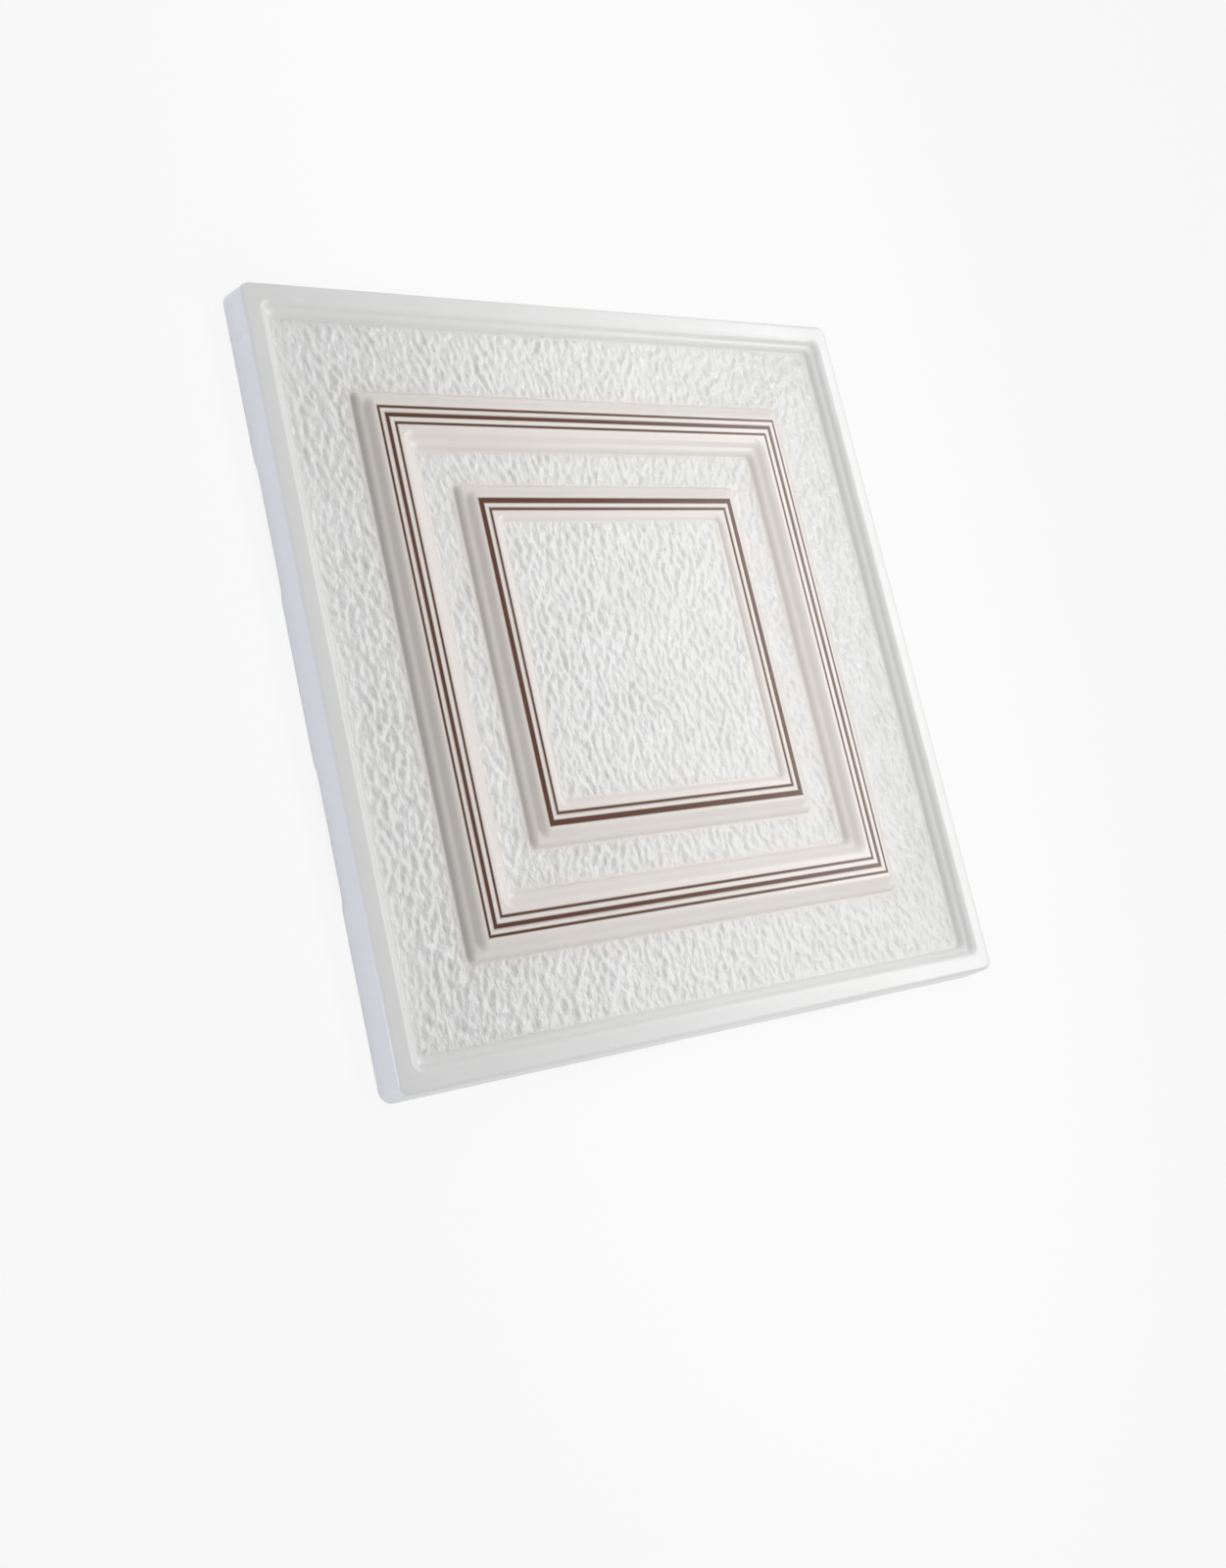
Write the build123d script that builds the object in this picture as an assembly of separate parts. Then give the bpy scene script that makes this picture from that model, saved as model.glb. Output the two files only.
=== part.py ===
from build123d import *
from math import atan2, degrees, hypot
import os

# A square clip-in ceiling tile, pressed and deep-drawn from one sheet of coated aluminium.
# It lies face up. The origin is the centre of the square, level with the flanges' back edge.

# Outline, in millimetres
tile_side = 300.0           # across the flanges' back edges, the ceiling grid's module
tile_height = 13.0          # rim face down to the flanges' back edge
sheet = 0.7                 # thickness of the sheet
corner_radius = 4.0         # drawn corner of the face, seen in plan
arris_radius = 1.5          # outside of the bend between rim and flange
flange_flare = 1.1          # draft: how far the back edge stands out past the face

# Bands of the face, from the edge to the centre
rim_width = 7.45            # flat rim
outer_field_width = 28.15   # textured band inside the rim
outer_frame_width = 11.6    # top of the outer raised frame
middle_field_width = 14.15  # textured band between the frames
inner_frame_width = 8.8     # top of the inner raised frame

# Two-step mouldings: an upper wall, a ledge and a lower wall
upper_drop = 2.7
lower_drop = 2.7
rim_upper_run = 1.6
rim_ledge = 1.7
rim_lower_run = 1.0
frame_upper_run = 2.7
frame_ledge = 1.9
frame_lower_run = 1.2

# Single step down to the centre panel
centre_drop = 1.5
centre_run = 1.5

step_corner = 1.8           # plan radius at the narrow end of each moulded wall

# Back edge of each flange: tabs that stand in the carrier, with shallow notches between them
notch_inner = 30.0          # from the middle of the side to the notch
notch_length = 53.0
notch_depth = 1.2
notch_ramp = 4.0            # sloped end of a notch

# Clip ridges pressed outwards near the back edge, one on each tab
ridge_length = 20.0
ridge_width = 5.0
ridge_rise = 0.25
ridge_slope = 1.5           # run of a ridge's sloping sides
ridge_height = 4.2          # middle of the ridge above the back edge
ridge_pitch = 112.0         # from the middle ridge to the ones beside it


def frustum(half_wide, z_wide, half_narrow, z_narrow, narrow_radius):
    """Square block with flat sloping sides, from its wide outline to its narrow one."""
    run = half_wide - half_narrow
    rise = abs(z_narrow - z_wide)
    wide = RectangleRounded(2 * half_wide, 2 * half_wide, narrow_radius + run)
    block = extrude(wide, rise, taper=degrees(atan2(run, rise)))
    turn = 180 if z_wide > z_narrow else 0
    return Pos(0, 0, z_wide) * Rot(turn, 0, 0) * block


def wall_shift(run, drop, skin):
    """How far a sloping wall moves sideways when the sheet's hidden face is drawn."""
    return skin * (hypot(run, drop) - run) / drop


def step(half_top, z_top, run, drop, spread, skin):
    """One sloping wall: the sides leave half_top and move out (spread 1) or in (spread -1)."""
    shift = spread * wall_shift(run, drop, skin)
    top = (half_top - shift, z_top - skin)
    foot = (half_top + spread * run - shift, z_top - drop - skin)
    wide, narrow = (foot, top) if spread > 0 else (top, foot)
    return frustum(*wide, *narrow, step_corner - shift)


def moulding(half_top, runs, spread, skin):
    """Two-step moulding that goes down from the rim's level, as a solid square form."""
    upper_run, ledge, lower_run = runs
    half_tread = half_top + spread * (upper_run + ledge)
    upper = step(half_top, tile_height, upper_run, upper_drop, spread, skin)
    lower = step(half_tread, tile_height - upper_drop, lower_run, lower_drop, spread, skin)
    return lower + upper


def flange_half(level, skin):
    """Half side of the flanges' outer face (skin 0) or inner face (skin = sheet) at a level."""
    return tile_side / 2 - flange_flare * level / tile_height - skin


def clip_ridges(skin):
    """Low flat-topped ridges along the four flanges, three to a side."""
    outward = (0, -tile_height, flange_flare)
    foot = (0, -flange_half(ridge_height, skin), ridge_height)
    flange_face = Plane(origin=foot, x_dir=(1, 0, 0), z_dir=outward)
    seat = flange_face.offset(-ridge_rise)
    seat_outline = Rectangle(ridge_length + 2 * ridge_slope, ridge_width + 2 * ridge_slope)
    slope_angle = degrees(atan2(ridge_slope, ridge_rise))
    ridge = extrude(seat * seat_outline, 2 * ridge_rise, taper=slope_angle)
    ridges = []
    for turn in range(4):
        for place in (-ridge_pitch, 0, ridge_pitch):
            ridges.append(Rot(0, 0, 90 * turn) * Pos(place, 0, 0) * ridge)
    return ridges


def tile_form(skin):
    """Solid under the tile's face (skin 0), or under the sheet's hidden face (skin = sheet)."""
    top = tile_height - skin
    form = frustum(flange_half(0, skin), 0, flange_half(top, skin), top, corner_radius - skin)
    bend = form.faces().sort_by(Axis.Z)[-1].edges()
    form = chamfer(bend, arris_radius - skin) if skin else fillet(bend, arris_radius)

    rim_runs = (rim_upper_run, rim_ledge, rim_lower_run)
    frame_runs = (frame_upper_run, frame_ledge, frame_lower_run)
    rim_inner = flange_half(tile_height, 0) - rim_width
    outer_frame_outer = rim_inner - sum(rim_runs) - outer_field_width - sum(frame_runs)
    outer_frame_inner = outer_frame_outer - outer_frame_width
    inner_frame_outer = outer_frame_inner - sum(frame_runs) - middle_field_width - sum(frame_runs)
    inner_frame_inner = inner_frame_outer - inner_frame_width

    form -= moulding(rim_inner, rim_runs, -1, skin)
    form += moulding(outer_frame_outer, frame_runs, 1, skin)
    form -= moulding(outer_frame_inner, frame_runs, -1, skin)
    form += moulding(inner_frame_outer, frame_runs, 1, skin)
    form -= step(inner_frame_inner, tile_height, centre_run, centre_drop, -1, skin)
    return form + clip_ridges(skin)


def notches():
    """Bars that cut the shallow notches into the back edges of two opposite flanges at a time."""
    outer = notch_inner + notch_length
    profile = Polyline(
        (notch_inner, 0),
        (notch_inner + notch_ramp, notch_depth),
        (outer - notch_ramp, notch_depth),
        (outer, 0),
        close=True,
    )
    bar = extrude(Plane.XZ * make_face(profile), tile_side, both=True)
    return [Rot(0, 0, 90 * turn) * bar for turn in range(4)]


tile_panel = tile_form(0) - tile_form(sheet) - notches()

os.makedirs("parts", exist_ok=True)
export_step(tile_panel, "parts/tile_panel.step")
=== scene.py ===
# %% [markdown]
# # An embossed ceiling tile
#
# The tile is one square of thin aluminium sheet. A press gives it a rim, two raised square frames with
# stepped sides, a stucco texture in the fields between them and four flanges that turn back to clip into
# the ceiling's carriers. White polyester was baked on before pressing, and brown stripes are printed along
# the frames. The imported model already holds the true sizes, so the lesson starts by loading it.

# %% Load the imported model
import math
from collections import namedtuple

import bmesh
import bpy
from mathutils import Matrix, Vector, noise


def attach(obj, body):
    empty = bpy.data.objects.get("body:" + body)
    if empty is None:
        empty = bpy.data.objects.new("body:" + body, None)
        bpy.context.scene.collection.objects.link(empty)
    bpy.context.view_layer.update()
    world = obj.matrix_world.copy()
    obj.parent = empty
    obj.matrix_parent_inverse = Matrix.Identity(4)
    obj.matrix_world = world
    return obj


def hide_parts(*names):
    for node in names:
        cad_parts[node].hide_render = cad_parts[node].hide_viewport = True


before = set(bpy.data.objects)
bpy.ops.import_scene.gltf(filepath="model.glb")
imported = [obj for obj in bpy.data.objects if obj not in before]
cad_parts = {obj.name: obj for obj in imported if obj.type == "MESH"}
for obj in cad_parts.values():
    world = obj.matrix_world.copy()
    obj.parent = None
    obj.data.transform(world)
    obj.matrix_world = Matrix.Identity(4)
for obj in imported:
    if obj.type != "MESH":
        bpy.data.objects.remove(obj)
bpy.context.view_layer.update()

MM = 0.001
TOUCH = 0.01  # millimetres within which two places count as one

# %% [markdown]
# ## The sheet's section
#
# Walk from the edge of the tile to its centre and the section is a row of flats and sloping walls. On the
# real tile a die forms them all in one blow, so the back follows the face at the sheet's thickness. The
# section is kept as a short table of real sizes, and both faces of the sheet are worked out from it. A
# modelled box per step would need boolean cuts and would leave no clean rings of edges to round. The ledges
# between two walls fall a little, as drawn metal does there, so they take a share of the drop.

# %% Sizes of the section, in millimetres
TILE_HALF = 150.0
TILE_HEIGHT = 13.0
SHEET = 0.7
EDGE_CORNER = 4.0
FLANGE_FLARE = 1.1
FACE_HALF = TILE_HALF - FLANGE_FLARE
STEP_CORNER = 1.8
FIELD_MARGIN = 0.7

STEP_DROP = 2.35
LEDGE_FALL = 0.7
CENTRE_DROP = 1.5

Stretch = namedtuple("Stretch", "flat width fall run drop")
STRETCHES = (
    Stretch("rim", 7.45, 0.0, 1.6, STEP_DROP),
    Stretch("ledge", 1.7, LEDGE_FALL, 1.0, STEP_DROP),
    Stretch("field", 28.15, 0.0, 1.2, -STEP_DROP),
    Stretch("ledge", 1.9, -LEDGE_FALL, 2.7, -STEP_DROP),
    Stretch("frame top", 11.6, 0.0, 2.7, STEP_DROP),
    Stretch("ledge", 1.9, LEDGE_FALL, 1.2, STEP_DROP),
    Stretch("field", 14.15, 0.0, 1.2, -STEP_DROP),
    Stretch("ledge", 1.9, -LEDGE_FALL, 2.7, -STEP_DROP),
    Stretch("frame top", 8.8, 0.0, 1.5, CENTRE_DROP),
)
# The bend at the upper end of a wall that rises from this flat
RISING_BENDS = {"field": "nose", "ledge": "top"}
CENTRE_HALF = FACE_HALF - sum(part.width + part.run for part in STRETCHES)
CENTRE_LEVEL = TILE_HEIGHT - sum(part.fall + part.drop for part in STRETCHES)


def flat_spans(name):
    """Half sides of the flats with this name, each as its inner and its outer edge, from the centre out."""
    spans = []
    outer = FACE_HALF
    for part in STRETCHES:
        inner = outer - part.width
        if part.flat == name:
            spans.append((inner, outer))
        outer = inner - part.run
    return spans[::-1]


print("centre panel:", round(2 * CENTRE_HALF, 2), "mm square at", round(CENTRE_LEVEL, 2), "mm")

# %% [markdown]
# Each corner of the section becomes one ring: a square with rounded corners, at its own level. A ring also
# remembers what kind of bend it is, because the press leaves a soft outer bend and a tighter inner one. The
# two rings beside a textured field are only margins, and keep the texture clear of the bends. On the sheet's
# back each wall moves sideways, so that the sheet is as thick there as anywhere else.

# %% Work out the rings of one face of the sheet
Ring = namedtuple("Ring", "half level corner bend")


def flange_rings(skin, levels):
    """Rings up one face of the flange, from its back edge to the bend below the rim."""
    rings = []
    for level in (*levels, TILE_HEIGHT - skin):
        flare = FLANGE_FLARE * (1 - level / TILE_HEIGHT)
        bend = "flat" if level in levels else "arris"
        rings.append(Ring(FACE_HALF - skin + flare, level, EDGE_CORNER - skin + flare, bend))
    return rings


def face_rings(skin):
    """Rings across one face of the sheet, from the rim to the centre panel."""
    rings = []
    half = FACE_HALF
    level = TILE_HEIGHT - skin
    for part in STRETCHES:
        textured = part.flat == "field" and skin == 0
        if textured:
            rings.append(Ring(half - FIELD_MARGIN, level, STEP_CORNER - FIELD_MARGIN, "field"))
        half -= part.width
        level -= part.fall
        if textured:
            corner = STEP_CORNER + part.run + FIELD_MARGIN
            rings.append(Ring(half + FIELD_MARGIN, level, corner, "flat"))
        slope = math.hypot(part.run, part.drop)
        shift = skin * (slope - part.run) / part.drop
        outer_bend = "top" if part.flat in ("rim", "frame top") else "nose"
        bends = (outer_bend, "foot") if part.drop > 0 else ("foot", RISING_BENDS[part.flat])
        rings.append(Ring(half + shift, level, STEP_CORNER + part.run + shift, bends[0]))
        half -= part.run
        level -= part.drop
        rings.append(Ring(half + shift, level, STEP_CORNER + shift, bends[1]))
    return rings


print("rings on the face:", len(face_rings(0)), "and on the back:", len(face_rings(SHEET)))

# %% [markdown]
# ## Pressing the sheet
#
# A ring starts as a one-face grid whose four corners are bevelled, and then loses its face. Bridging each
# ring to the next makes the walls and flats, out over the back, round the flange and in over the face. Two
# rings in one plane give a bridge no direction to go by, so the rings first stand in a tall stack, and are
# pressed down to their own levels once they are joined.

# %% Join the rings into one closed sheet
CORNER_SEGMENTS = 6
STACK_STEP = 100.0
FACE_SLOT, BACK_SLOT = 0, 1
RIDGE_HEIGHT = 4.2
RIDGE_HALF_WIDTH = 2.5
RIDGE_ROWS = 6


def add_ring(bm, ring, height):
    """Edges of a square with rounded corners, at this height."""
    place = Matrix.Translation((0, 0, height * MM))
    square = bmesh.ops.create_grid(bm, x_segments=1, y_segments=1, size=ring.half * MM, matrix=place)
    rounded = bmesh.ops.bevel(
        bm, geom=square["verts"], offset=ring.corner * MM, offset_type="ABSOLUTE",
        affect="VERTICES", segments=CORNER_SEGMENTS, profile=0.5, material=-1)
    face = rounded["verts"][0].link_faces[0]
    edges = list(face.edges)
    bmesh.ops.delete(bm, geom=[face], context="FACES_ONLY")
    return edges


row_step = 2 * RIDGE_HALF_WIDTH / RIDGE_ROWS
ridge_foot = RIDGE_HEIGHT - RIDGE_HALF_WIDTH
flange_levels = [0.0] + [ridge_foot + row * row_step for row in range(RIDGE_ROWS + 1)]

back_rings = flange_rings(SHEET, flange_levels) + face_rings(SHEET)
front_rings = flange_rings(0, flange_levels) + face_rings(0)
front_rings.append(
    Ring(CENTRE_HALF - FIELD_MARGIN, CENTRE_LEVEL, STEP_CORNER - FIELD_MARGIN, "centre"))
rings = back_rings[::-1] + front_rings

tile = bmesh.new()
ring_edges = [add_ring(tile, ring, number * STACK_STEP) for number, ring in enumerate(rings)]
field_bands = []
for number in range(len(rings) - 1):
    band = bmesh.ops.bridge_loops(tile, edges=ring_edges[number] + ring_edges[number + 1])
    for quad in band["faces"]:
        quad.material_index = BACK_SLOT if number < len(back_rings) - 1 else FACE_SLOT
    if rings[number].bend == "field":
        field_bands.append((rings[number], rings[number + 1], band["edges"]))
for ring, edges in zip(rings, ring_edges):
    for edge in edges:
        for vert in edge.verts:
            vert.co.z = ring.level * MM
print("bridged", len(rings), "rings into", len(tile.faces), "faces")

# %% [markdown]
# ## Rounding the bends
#
# Sheet metal cannot fold sharply: the outside of each bend is a soft round and the inside is tighter. Round
# bends also catch the light as thin bright lines, which is what makes the mouldings read as pressed metal.
# The rings are edge loops, so one bevel for each kind of bend rounds all four sides together.

# %% Bevel the bends
BendRound = namedtuple("BendRound", "reach segments")
BENDS = {
    "arris": BendRound(1.5, 4),
    "top": BendRound(1.4, 4),
    "nose": BendRound(1.05, 3),
    "foot": BendRound(0.6, 3),
}
BACK_REACH = 0.3

back_numbers = range(len(back_rings))
front_numbers = range(len(back_rings), len(rings))
for bend, shape in BENDS.items():
    for numbers, reach in ((back_numbers, BACK_REACH), (front_numbers, shape.reach)):
        edges = []
        for number in numbers:
            if rings[number].bend == bend:
                edges += ring_edges[number]
        bmesh.ops.bevel(
            tile, geom=edges, offset=reach * MM, offset_type="OFFSET", affect="EDGES",
            segments=shape.segments, profile=0.5, material=-1)
print("after the bends:", len(tile.faces), "faces")

# %% [markdown]
# ## The clip flanges
#
# The flanges' back edge stands on three tabs a side with shallow notches between them, and a slim ridge is
# pressed out of each tab to snap behind the carrier's lip. Cutting the lower bands of the flange with
# planes gives the vertices that both need. Then the notch vertices go up, and the ridge vertices go out.

# %% Cut the flanges and shape the notches and ridges
NOTCH_INNER = 30.0
NOTCH_OUTER = 83.0
NOTCH_RAMP = 4.0
NOTCH_DEPTH = 1.2
RIDGE_HALF_LENGTH = 10.0
RIDGE_RISE = 0.25
RIDGE_PLACES = (-112.0, 0.0, 112.0)
RIDGE_COLUMNS = 10
FLANGE_INSIDE = FACE_HALF - SHEET - TOUCH
RIDGE_TOP = RIDGE_HEIGHT + RIDGE_HALF_WIDTH


def on_flange(co, along):
    """True for a place in the lower bands of the two flanges that run along this axis."""
    return abs(co[1 - along]) > FLANGE_INSIDE * MM and co.z < (RIDGE_TOP + TOUCH) * MM


cuts = [NOTCH_INNER, NOTCH_INNER + NOTCH_RAMP, NOTCH_OUTER - NOTCH_RAMP, NOTCH_OUTER]
cuts += [-cut for cut in cuts]
column = 2 * RIDGE_HALF_LENGTH / RIDGE_COLUMNS
for middle in RIDGE_PLACES:
    cuts += [middle - RIDGE_HALF_LENGTH + number * column for number in range(RIDGE_COLUMNS + 1)]

for along in (0, 1):
    normal = Vector((1 - along, along, 0))
    for cut in cuts:
        low_faces = [quad for quad in tile.faces if all(on_flange(v.co, along) for v in quad.verts)]
        low_edges = {edge for quad in low_faces for edge in quad.edges}
        low_verts = {vert for quad in low_faces for vert in quad.verts}
        bmesh.ops.bisect_plane(
            tile, geom=[*low_verts, *low_edges, *low_faces], plane_co=normal * cut * MM, plane_no=normal)


def swell(distance, reach):
    """Soft bump from 1 in the middle to 0 at its reach."""
    share = min(abs(distance) / reach, 1.0)
    return math.cos(share * math.pi / 2) ** 2


notch_start = NOTCH_INNER + NOTCH_RAMP - TOUCH
notch_end = NOTCH_OUTER - NOTCH_RAMP + TOUCH
for vert in tile.verts:
    for along in (0, 1):
        if not on_flange(vert.co, along):
            continue
        place = vert.co[along] / MM
        level = vert.co.z / MM
        if level < TOUCH and notch_start < abs(place) < notch_end:
            vert.co.z = NOTCH_DEPTH * MM
        for middle in RIDGE_PLACES:
            rise = RIDGE_RISE * swell(place - middle, RIDGE_HALF_LENGTH)
            rise *= swell(level - RIDGE_HEIGHT, RIDGE_HALF_WIDTH)
            vert.co[1 - along] += math.copysign(rise * MM, vert.co[1 - along])
print("flanges cut at", len(cuts), "places a side")

# %% [markdown]
# ## The stucco texture
#
# Rollers emboss the fields with a stucco: low worm-shaped islands with narrow valleys, about 4 mm apart and
# about half a millimetre high. It shows in low light from every side, so it is real geometry here. The
# field bands are divided into cells finer than the islands, and a noise lifts their vertices.

# %% Divide the fields into fine cells
CELL = 0.78
LONG_EDGE = 10 * CELL


def square_reach(co):
    """Half side of the square through this place, in millimetres."""
    return max(abs(co.x), abs(co.y)) / MM


for outer, inner, spokes in field_bands:
    bmesh.ops.subdivide_edges(
        tile, edges=spokes, cuts=round((outer.half - inner.half) / CELL) - 1, use_grid_fill=True)
    long_edges = []
    for edge in tile.edges:
        ends = [vert.co for vert in edge.verts]
        flat = all(abs(co.z / MM - outer.level) < TOUCH for co in ends)
        within = all(inner.half - TOUCH < square_reach(co) < outer.half + TOUCH for co in ends)
        if flat and within and edge.calc_length() > LONG_EDGE * MM:
            long_edges.append(edge)
    bmesh.ops.subdivide_edges(
        tile, edges=long_edges, cuts=round((outer.half + inner.half) / CELL) - 1, use_grid_fill=True)
print("divided", len(field_bands), "bands into cells of", CELL, "mm")

# %% [markdown]
# The centre panel has no hole in it, so it gets a plain grid of the same cells. A row of triangles joins the
# grid's square edge to the rounded ring around it. The back of the centre is never seen from near and stays
# one flat face, which also closes the sheet.

# %% Close the centre on both faces
CENTRE_MARGIN = 0.9
centre_ring = ring_edges[-1]
cells = round(2 * (CENTRE_HALF - CENTRE_MARGIN) / CELL)
panel = bmesh.ops.create_grid(
    tile, x_segments=cells, y_segments=cells, size=(CENTRE_HALF - CENTRE_MARGIN) * MM,
    matrix=Matrix.Translation((0, 0, CENTRE_LEVEL * MM)))
panel_edge = {edge for vert in panel["verts"] for edge in vert.link_edges if edge.is_boundary}
bmesh.ops.triangle_fill(tile, edges=[*centre_ring, *panel_edge], use_beauty=True)
back_edge = [edge for edge in tile.edges if edge.is_boundary]
back_panel = bmesh.ops.contextual_create(tile, geom=back_edge)
for panel_face in back_panel["faces"]:
    panel_face.material_index = BACK_SLOT
open_edges = sum(edge.is_boundary for edge in tile.edges)
print("divided into", len(tile.faces), "faces, with", open_edges, "open edges")

# %% [markdown]
# The islands come from one smooth noise, and a finer one roughens them with pebbles. Both are stretched
# along y, the way the strip ran through the rollers. A tanh squeezes their sum towards two levels, which
# leaves flat tops, flat valleys and short steep sides, and a slow third noise makes calmer and rougher
# patches. The height fades to nothing over the last half millimetre, where the field meets a bend, and no
# valley goes as deep as the sheet is thick.

# %% Emboss the stucco
STUCCO_CELL = 2.5
STUCCO_STRETCH = 1.7
STUCCO_HEIGHT = 0.54
STUCCO_SQUEEZE = 2.0
STUCCO_DEEPEST = 0.6
PEBBLE_CELL = 1.6
PEBBLE_SHARE = 0.6
PATCH_CELL = 9.0
PATCH_SHARE = 0.7
STUCCO_FADE = 0.5
STUCCO_OFFSET = Vector((31.7, 12.3, 5.9))


def stucco_height(x, y):
    """Height of the stucco in millimetres at a place on the face."""
    place = Vector((x, y / STUCCO_STRETCH, 0.0))
    islands = noise.noise(place / STUCCO_CELL)
    pebbles = noise.noise(place / PEBBLE_CELL + STUCCO_OFFSET)
    patches = 1 + PATCH_SHARE * noise.noise(place / PATCH_CELL - STUCCO_OFFSET)
    height = STUCCO_HEIGHT * patches * math.tanh(STUCCO_SQUEEZE * (islands + PEBBLE_SHARE * pebbles))
    return max(height, -STUCCO_DEEPEST)


fields = [(outer.half, inner.half, outer.level) for outer, inner, spokes in field_bands]
fields.append((CENTRE_HALF - CENTRE_MARGIN, -STUCCO_FADE, CENTRE_LEVEL))
raised = []
for vert in tile.verts:
    reach = square_reach(vert.co)
    for outer_half, inner_half, level in fields:
        room = min(outer_half - reach, reach - inner_half)
        if abs(vert.co.z / MM - level) < TOUCH and room > 0:
            fade = min(room / STUCCO_FADE, 1.0)
            height = fade * stucco_height(vert.co.x / MM, vert.co.y / MM)
            raised.append((vert, height))
for vert, height in raised:
    vert.co.z += height * MM
heights = [height for vert, height in raised]
print("embossed", len(raised), "vertices, from", round(min(heights), 2), "to", round(max(heights), 2), "mm")

# %% [markdown]
# ## One finished piece
#
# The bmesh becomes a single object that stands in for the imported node. Its faces are shaded smooth, and a
# Weighted Normal modifier lets the large flats set the normals, so that the rounding stays in the bends.

# %% Make the tile's object
bmesh.ops.recalc_face_normals(tile, faces=tile.faces)
mesh = bpy.data.meshes.new("pressed_tile")
tile.to_mesh(mesh)
tile.free()
mesh.shade_smooth()
pressed_tile = bpy.data.objects.new("pressed_tile", mesh)
bpy.context.collection.objects.link(pressed_tile)
flat_first = pressed_tile.modifiers.new("flats set the normals", "WEIGHTED_NORMAL")
flat_first.keep_sharp = True
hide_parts("tile_panel")
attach(pressed_tile, "root")
mesh.calc_loop_triangles()
print("pressed tile:", len(mesh.loop_triangles), "triangles")

# %% [markdown]
# ## The finishes
#
# Colours are written as sRGB hex values, the way a paint chart gives them, and one function turns them into
# the linear values that Blender's sockets want. A second small function adds a node with its settings and
# links, so that each finish below reads as a short list of layers.

# %% Helpers for colours and nodes


def hex_colour(text):
    """Linear colour with alpha from an sRGB hex value."""
    channels = [int(text[place:place + 2], 16) / 255 for place in (1, 3, 5)]
    linear = [c / 12.92 if c <= 0.04045 else ((c + 0.055) / 1.055) ** 2.4 for c in channels]
    return (*linear, 1.0)


def add_node(tree, kind, inputs, **settings):
    """Adds one node; an input is either a value or the socket that feeds it."""
    node = tree.nodes.new(kind)
    for name, value in settings.items():
        setattr(node, name, value)
    for name, value in inputs.items():
        if isinstance(value, bpy.types.NodeSocket):
            tree.links.new(value, node.inputs[name])
        else:
            node.inputs[name].default_value = value
    return node


def new_finish(name):
    """New material with an empty node tree."""
    finish = bpy.data.materials.new(name)
    finish.use_nodes = True
    finish.node_tree.nodes.clear()
    return finish, finish.node_tree


# Places of a Mix node's colour sockets
MIX_FIRST, MIX_SECOND, MIX_RESULT = 6, 7, 2
PLAIN_WHITE = "#FFFFFF"
print("white reads", [round(c, 3) for c in hex_colour(PLAIN_WHITE)])

# %% [markdown]
# Roller-coated polyester is a smooth, satin paint. The face is a clean white; the frames are printed in a
# warmer cream with brown lines along them, mitred at the corners. A line's distance from the middle is the
# larger of the distances along x and y, so a colour ramp over that one number draws every square line. The
# cream runs out over the fields as a faint haze. A slow noise makes the tone and the gloss uneven, as a
# rolled coat is, and in the fields a bump adds grain between the stucco's islands, too fine for the mesh.

# %% Colours, stripes and gloss of the face
COAT_WHITE = "#ECEDEC"
FRAME_CREAM = "#EEE8E3"
WALL_TINT = "#EDE9E6"
PRINT_BROWN = "#562806"
HAZE_REACH = 7.0
Stripe = namedtuple("Stripe", "reach width")
STRIPES = (
    Stripe(60.23, 1.35),
    Stripe(63.40, 2.25),
    Stripe(94.64, 1.35),
    Stripe(97.87, 2.25),
    Stripe(101.09, 1.35),
)
PRINT_BLUR = 0.05
CLOUD_CELL = 24.0
CLOUD_TONE = "#F9F9F8"
SATIN_SMOOTH, SATIN_ROUGH = 0.25, 0.33
SATIN_IOR = 1.34
GRAIN_CELL = 1.7
GRAIN_HEIGHT = 0.6
GRAIN_FADE = 0.6
FIELD_SPANS = [(-GRAIN_FADE, CENTRE_HALF)] + flat_spans("field")
FRAME_TOPS = flat_spans("frame top")
print("fields reach, in mm:", [round(outer, 2) for inner, outer in FIELD_SPANS])

# %% [markdown]
# Three ramps share that one distance. The first holds the coat's tones, the second tells where there is
# ink, and the third tells where the fields have grain. The tones and the grain take their stops from the
# section's sizes, and the ink takes them from the stripes.

# %% Stops of the ramps


def fill_ramp(ramp, stops, span=TILE_HALF):
    """Sets a colour ramp from (reach, colour) pairs, where the span is the reach at its far end."""
    for number, (reach, colour) in enumerate(stops):
        spot = reach / span
        stop = ramp.elements[number] if number < 2 else ramp.elements.new(spot)
        stop.position = spot
        stop.color = colour


white = hex_colour(COAT_WHITE)
cream = hex_colour(FRAME_CREAM)
tint = hex_colour(WALL_TINT)
base_stops = []
for within, (top_inner, top_outer), beyond in zip(FIELD_SPANS, FRAME_TOPS, FIELD_SPANS[1:]):
    inner_foot = within[1]
    outer_foot = beyond[0]
    base_stops += [(inner_foot - HAZE_REACH, white), (inner_foot, tint), (top_inner, cream)]
    base_stops += [(top_outer, cream), (outer_foot, tint), (outer_foot + HAZE_REACH, white)]
none = (0.0, 0.0, 0.0, 1.0)
full = (1.0, 1.0, 1.0, 1.0)
ink_stops = []
for stripe in STRIPES:
    near = stripe.reach - stripe.width / 2
    far = stripe.reach + stripe.width / 2
    ink_stops += [(near - PRINT_BLUR, none), (near + PRINT_BLUR, full)]
    ink_stops += [(far - PRINT_BLUR, full), (far + PRINT_BLUR, none)]
grain_stops = []
for inner_edge, outer_edge in FIELD_SPANS:
    grain_stops += [(inner_edge, none), (inner_edge + GRAIN_FADE, full)]
    grain_stops += [(outer_edge - GRAIN_FADE, full), (outer_edge, none)]
print("print:", len(STRIPES), "stripes from", len(ink_stops), "stops")

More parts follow.
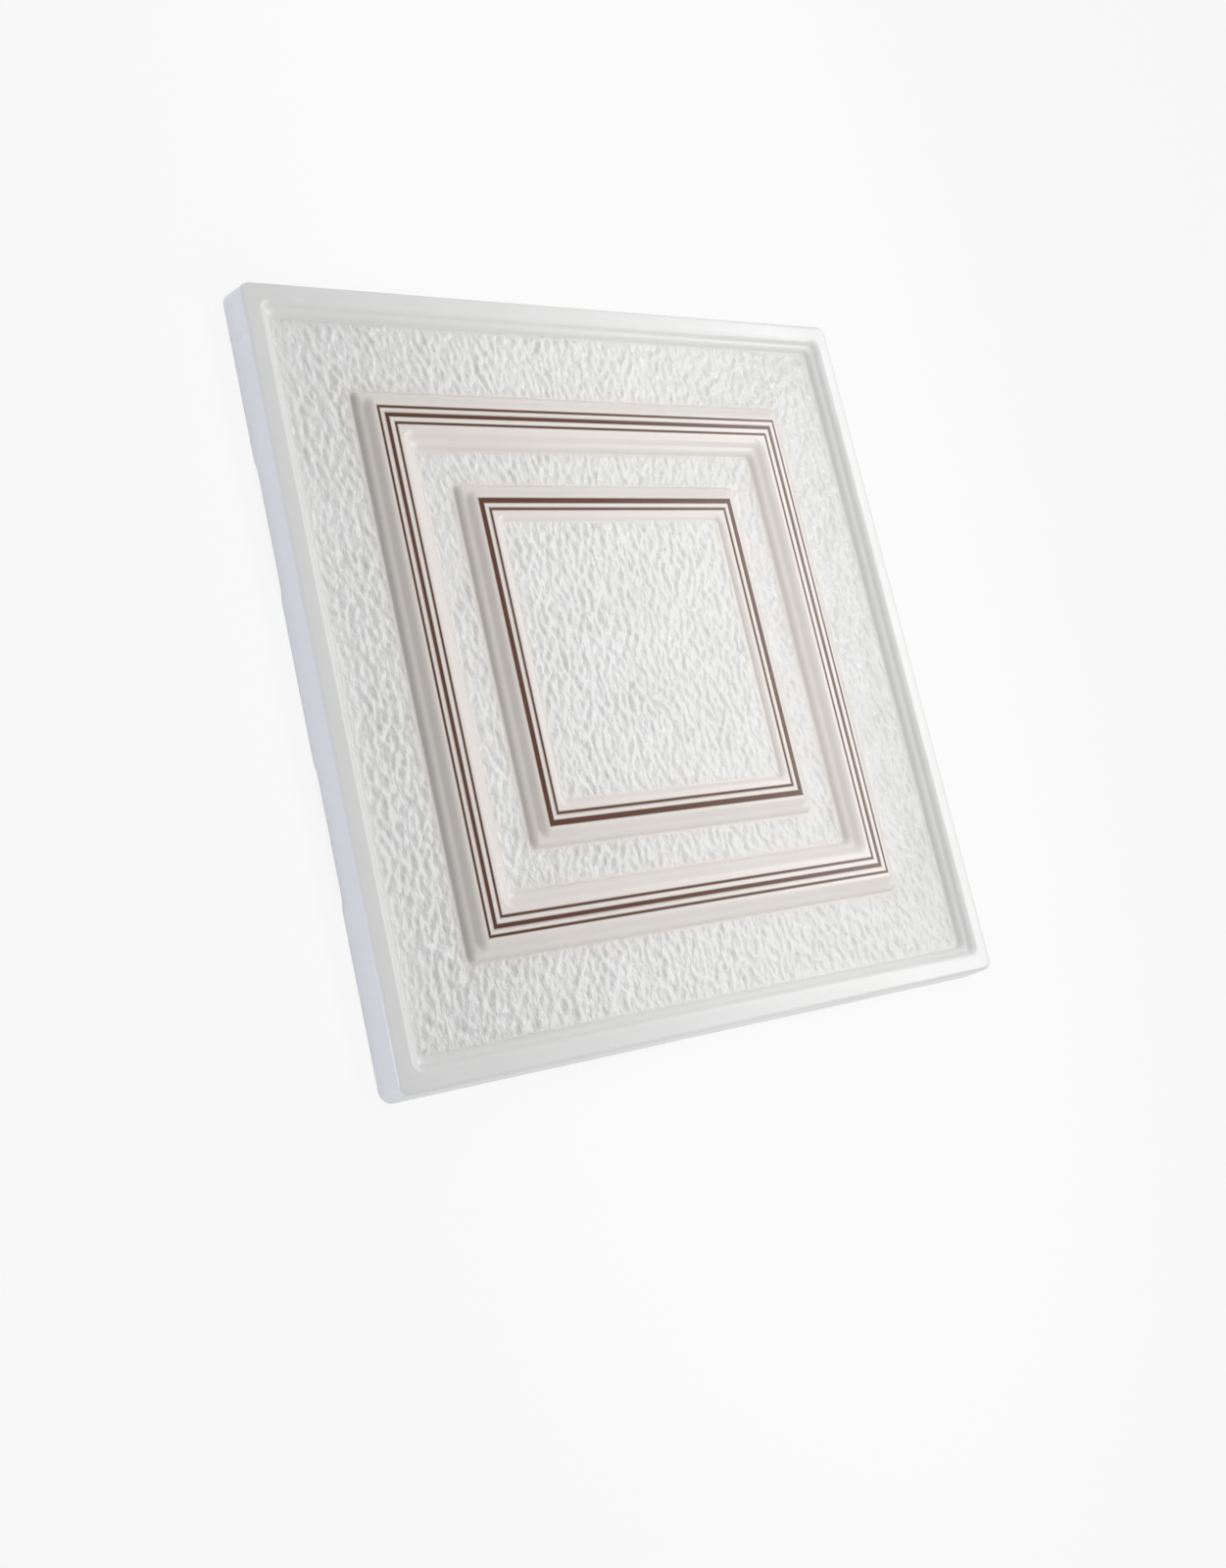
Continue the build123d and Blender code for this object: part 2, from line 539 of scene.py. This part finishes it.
# %% Printed polyester for the face
polyester, tree = new_finish("printed satin polyester")
place = add_node(tree, "ShaderNodeTexCoord", {})
axes = add_node(tree, "ShaderNodeSeparateXYZ", {"Vector": place.outputs["Object"]})
along_x = add_node(tree, "ShaderNodeMath", {0: axes.outputs["X"]}, operation="ABSOLUTE")
along_y = add_node(tree, "ShaderNodeMath", {0: axes.outputs["Y"]}, operation="ABSOLUTE")
reach = add_node(
    tree, "ShaderNodeMath", {0: along_x.outputs[0], 1: along_y.outputs[0]}, operation="MAXIMUM")
share = add_node(tree, "ShaderNodeMath", {0: reach.outputs[0], 1: TILE_HALF * MM}, operation="DIVIDE")
base = add_node(tree, "ShaderNodeValToRGB", {"Fac": share.outputs[0]})
fill_ramp(base.color_ramp, base_stops)
ink = add_node(tree, "ShaderNodeValToRGB", {"Fac": share.outputs[0]})
fill_ramp(ink.color_ramp, ink_stops)
rolled = add_node(
    tree, "ShaderNodeMapping",
    {"Vector": place.outputs["Object"], "Scale": (1.0, 1 / STUCCO_STRETCH, 1.0)})
grain = add_node(
    tree, "ShaderNodeTexNoise",
    {"Vector": rolled.outputs["Vector"], "Scale": 1 / (GRAIN_CELL * MM), "Detail": 1.0, "Roughness": 0.5})
embossed = add_node(tree, "ShaderNodeValToRGB", {"Fac": share.outputs[0]})
fill_ramp(embossed.color_ramp, grain_stops)
relief = add_node(
    tree, "ShaderNodeMath", {0: grain.outputs["Fac"], 1: embossed.outputs["Color"]}, operation="MULTIPLY")
bump = add_node(
    tree, "ShaderNodeBump", {"Height": relief.outputs[0], "Strength": 1.0, "Distance": GRAIN_HEIGHT * MM})
clouds = add_node(
    tree, "ShaderNodeTexNoise",
    {"Vector": place.outputs["Object"], "Scale": 1 / (CLOUD_CELL * MM), "Detail": 2.0, "Roughness": 0.5})
coat_base = add_node(
    tree, "ShaderNodeMix",
    {"Factor": clouds.outputs["Fac"], MIX_FIRST: base.outputs["Color"],
     MIX_SECOND: hex_colour(CLOUD_TONE)},
    data_type="RGBA", blend_type="MULTIPLY")
gloss = add_node(
    tree, "ShaderNodeMapRange",
    {"Value": clouds.outputs["Fac"], "To Min": SATIN_SMOOTH, "To Max": SATIN_ROUGH})
print_mix = add_node(
    tree, "ShaderNodeMix",
    {"Factor": ink.outputs["Color"], MIX_FIRST: coat_base.outputs[MIX_RESULT],
     MIX_SECOND: hex_colour(PRINT_BROWN)},
    data_type="RGBA")
coat = add_node(
    tree, "ShaderNodeBsdfPrincipled",
    {"Base Color": print_mix.outputs[MIX_RESULT], "Roughness": gloss.outputs[0], "IOR": SATIN_IOR,
     "Normal": bump.outputs["Normal"]})
add_node(tree, "ShaderNodeOutputMaterial", {"Surface": coat.outputs["BSDF"]})
mesh.materials.append(polyester)
print("face:", polyester.name, "from", len(tree.nodes), "nodes")

# %% [markdown]
# The back of the sheet only gets a thin wash primer, a pale grey that lets a little metal through. It is
# put on by a roller and left as it dries, so it is cloudy and streaked along the strip. A noise that is
# stretched along y, the way the strip ran, mixes the thin places with the full ones. No one sees the back
# in a ceiling, so it has no print.

# %% Wash primer for the back
PRIMER_FULL = "#CFD1D0"
PRIMER_THIN = "#B9BCBD"
WASH_CELL = 5.0
WASH_STRETCH = 9.0
WASH_SMOOTH, WASH_ROUGH = 0.42, 0.66
METAL_SHOWING = 0.25
primer, tree = new_finish("wash primer on aluminium")
place = add_node(tree, "ShaderNodeTexCoord", {})
streaked = add_node(
    tree, "ShaderNodeMapping",
    {"Vector": place.outputs["Object"], "Scale": (1.0, 1 / WASH_STRETCH, 1.0)})
streaks = add_node(
    tree, "ShaderNodeTexNoise",
    {"Vector": streaked.outputs["Vector"], "Scale": 1 / (WASH_CELL * MM), "Detail": 4.0, "Roughness": 0.6})
cover = add_node(
    tree, "ShaderNodeMix",
    {"Factor": streaks.outputs["Fac"], MIX_FIRST: hex_colour(PRIMER_THIN),
     MIX_SECOND: hex_colour(PRIMER_FULL)},
    data_type="RGBA")
dull = add_node(
    tree, "ShaderNodeMapRange",
    {"Value": streaks.outputs["Fac"], "To Min": WASH_SMOOTH, "To Max": WASH_ROUGH})
wash = add_node(
    tree, "ShaderNodeBsdfPrincipled",
    {"Base Color": cover.outputs[MIX_RESULT], "Roughness": dull.outputs[0], "Metallic": METAL_SHOWING})
add_node(tree, "ShaderNodeOutputMaterial", {"Surface": wash.outputs["BSDF"]})
mesh.materials.append(primer)
print("finishes:", [finish.name for finish in mesh.materials])

# %% [markdown]
# ## The studio
#
# A white sheet lies on the floor, as for a catalogue picture. Light Path lets the camera see most of it as
# plain white, and leaves a share of real shading, so the tile still drops its soft contact shadow.

# %% Floor
FLOOR_HALF = 12.0
FLOOR_PLAIN = 0.86
PAPER_WHITE = "#F2F2F2"


def seen_directly(tree):
    """Socket that is 1 for camera, glossy and transmission rays."""
    rays = add_node(tree, "ShaderNodeLightPath", {})
    shiny = add_node(
        tree, "ShaderNodeMath",
        {0: rays.outputs["Is Camera Ray"], 1: rays.outputs["Is Glossy Ray"]}, operation="MAXIMUM")
    either = add_node(
        tree, "ShaderNodeMath",
        {0: shiny.outputs[0], 1: rays.outputs["Is Transmission Ray"]}, operation="MAXIMUM")
    return either.outputs[0]


ground = bmesh.new()
bmesh.ops.create_grid(ground, x_segments=1, y_segments=1, size=FLOOR_HALF)
ground_mesh = bpy.data.meshes.new("studio_floor")
ground.to_mesh(ground_mesh)
ground.free()
studio_floor = bpy.data.objects.new("studio_floor", ground_mesh)
bpy.context.collection.objects.link(studio_floor)
paper, tree = new_finish("white studio paper")
matt = add_node(tree, "ShaderNodeBsdfDiffuse", {"Color": hex_colour(PAPER_WHITE)})
plain = add_node(tree, "ShaderNodeEmission", {"Color": hex_colour(PLAIN_WHITE), "Strength": 1.0})
amount = add_node(tree, "ShaderNodeMath", {0: seen_directly(tree), 1: FLOOR_PLAIN}, operation="MULTIPLY")
sheet_mix = add_node(
    tree, "ShaderNodeMixShader",
    {"Fac": amount.outputs[0], 1: matt.outputs["BSDF"], 2: plain.outputs["Emission"]})
add_node(tree, "ShaderNodeOutputMaterial", {"Surface": sheet_mix.outputs["Shader"]})
ground_mesh.materials.append(paper)
print("floor", 2 * FLOOR_HALF, "m square")

# %% [markdown]
# The world is a white room that lights the tile from above and from the right and stays dark at the left,
# so that the walls of the mouldings that face left fall into shade. A ramp across the room and a slower
# change from the horizon to the zenith make that glow. The camera, and any reflection, sees plain white.

# %% World
SIDE_GLOWS = ((0.0, 0.01), (0.3, 0.12), (0.5, 1.18), (0.7, 0.78), (1.0, 0.30))
HORIZON_GLOW, ZENITH_GLOW = 1.40, 0.80
scene = bpy.context.scene
world = bpy.data.worlds.new("studio")
scene.world = world
world.use_nodes = True
tree = world.node_tree
tree.nodes.clear()
toward = add_node(tree, "ShaderNodeTexCoord", {})
sides = add_node(tree, "ShaderNodeSeparateXYZ", {"Vector": toward.outputs["Generated"]})
left_to_right = add_node(tree, "ShaderNodeMapRange", {"Value": sides.outputs["X"], "From Min": -1.0})
across = add_node(tree, "ShaderNodeValToRGB", {"Fac": left_to_right.outputs[0]})
fill_ramp(across.color_ramp, [(spot, (glow, glow, glow, 1.0)) for spot, glow in SIDE_GLOWS], span=1.0)
upward = add_node(
    tree, "ShaderNodeMapRange",
    {"Value": sides.outputs["Z"], "To Min": HORIZON_GLOW, "To Max": ZENITH_GLOW})
glow = add_node(
    tree, "ShaderNodeMath", {0: across.outputs["Color"], 1: upward.outputs[0]}, operation="MULTIPLY")
strength = add_node(
    tree, "ShaderNodeMapRange", {"Value": seen_directly(tree), "To Min": glow.outputs[0], "To Max": 1.0})
sky = add_node(
    tree, "ShaderNodeBackground", {"Color": hex_colour(PLAIN_WHITE), "Strength": strength.outputs[0]})
add_node(tree, "ShaderNodeOutputWorld", {"Surface": sky.outputs["Background"]})
print("world glows from", HORIZON_GLOW, "at the horizon to", ZENITH_GLOW, "at the zenith")

# %% [markdown]
# A long bar stands beyond the right edge and is only there for its sheen: in the satin coat it lifts the
# right side of the tile and washes out the print towards it. A narrow softbox hangs over the face, from
# front to back. It gives the face its plain light, rakes the stucco at the sides and has no reflection of
# its own. A strip with a honeycomb grid lies on the floor at the left. The grid keeps its light level, so
# it reaches the flange, but neither the face nor the floor.

# %% Lamps
Lamp = namedtuple("Lamp", "name place aim width height spread power colour diffuse glossy")
OPEN_SPREAD = 180.0
GRID_SPREAD = 6.0
COOL_WHITE = "#ECEEFF"
LAMPS = (
    Lamp("window sheen", (0.86, 0.04, 0.68), (0.1, 0.04, 0.0),
         1.1, 0.1, OPEN_SPREAD, 7.4, PLAIN_WHITE, False, True),
    Lamp("softbox overhead", (0.06, 0.1, 0.26), (0.06, 0.1, 0.0),
         0.08, 0.9, OPEN_SPREAD, 0.6, PLAIN_WHITE, True, False),
    Lamp("strip on the floor", (-1.0, 0.0, 0.008), (0.0, 0.0, 0.008),
         0.6, 0.02, GRID_SPREAD, 0.05, COOL_WHITE, True, True),
)
for lamp in LAMPS:
    light = bpy.data.lights.new(lamp.name, "AREA")
    light.shape = "RECTANGLE"
    light.size = lamp.width
    light.size_y = lamp.height
    light.spread = math.radians(lamp.spread)
    light.energy = lamp.power
    light.color = hex_colour(lamp.colour)[:3]
    stand = bpy.data.objects.new(lamp.name, light)
    stand.location = lamp.place
    aim = Vector(lamp.aim) - Vector(lamp.place)
    stand.rotation_euler = aim.to_track_quat("-Z", "Y").to_euler()
    stand.visible_camera = False
    stand.visible_diffuse = lamp.diffuse
    stand.visible_glossy = lamp.glossy
    scene.collection.objects.link(stand)
print("lamps:", [lamp.name for lamp in LAMPS])

# %% [markdown]
# ## The camera
#
# The picture was taken square to nothing: from low on the left of the face and close by, so the tile's
# sides converge. The camera's place and direction were found by fitting the tile's corners and its printed
# lines. The fit's middle lies above the middle of the picture, and the lens shift takes care of that.

# %% Place the camera
PHOTO_HEIGHT = 1600
FOCAL_PIXELS = 2010.6
MIDDLE_ROW = 667.24
SENSOR = 36.0
CAMERA_PLACE = (-0.49654, -0.15906, 0.5928)
CAMERA_AHEAD = (0.62362, 0.20649, -0.75396)
CAMERA_RIGHT = (0.78039, -0.22088, 0.58498)
camera = bpy.data.cameras.new("catalogue camera")
camera.sensor_fit = "VERTICAL"
camera.sensor_height = SENSOR
camera.lens = FOCAL_PIXELS * SENSOR / PHOTO_HEIGHT
camera.shift_y = (MIDDLE_ROW - PHOTO_HEIGHT / 2) / PHOTO_HEIGHT
camera.clip_start = 0.01
viewer = bpy.data.objects.new("catalogue camera", camera)
viewer.location = CAMERA_PLACE
ahead = Vector(CAMERA_AHEAD).normalized()
right = Vector(CAMERA_RIGHT)
right = (right - ahead * right.dot(ahead)).normalized()
up = right.cross(ahead)
viewer.rotation_euler = Matrix((right, up, -ahead)).transposed().to_euler()
scene.collection.objects.link(viewer)
scene.camera = viewer
scene.view_settings.view_transform = "Standard"
print("lens", round(camera.lens, 2), "mm")
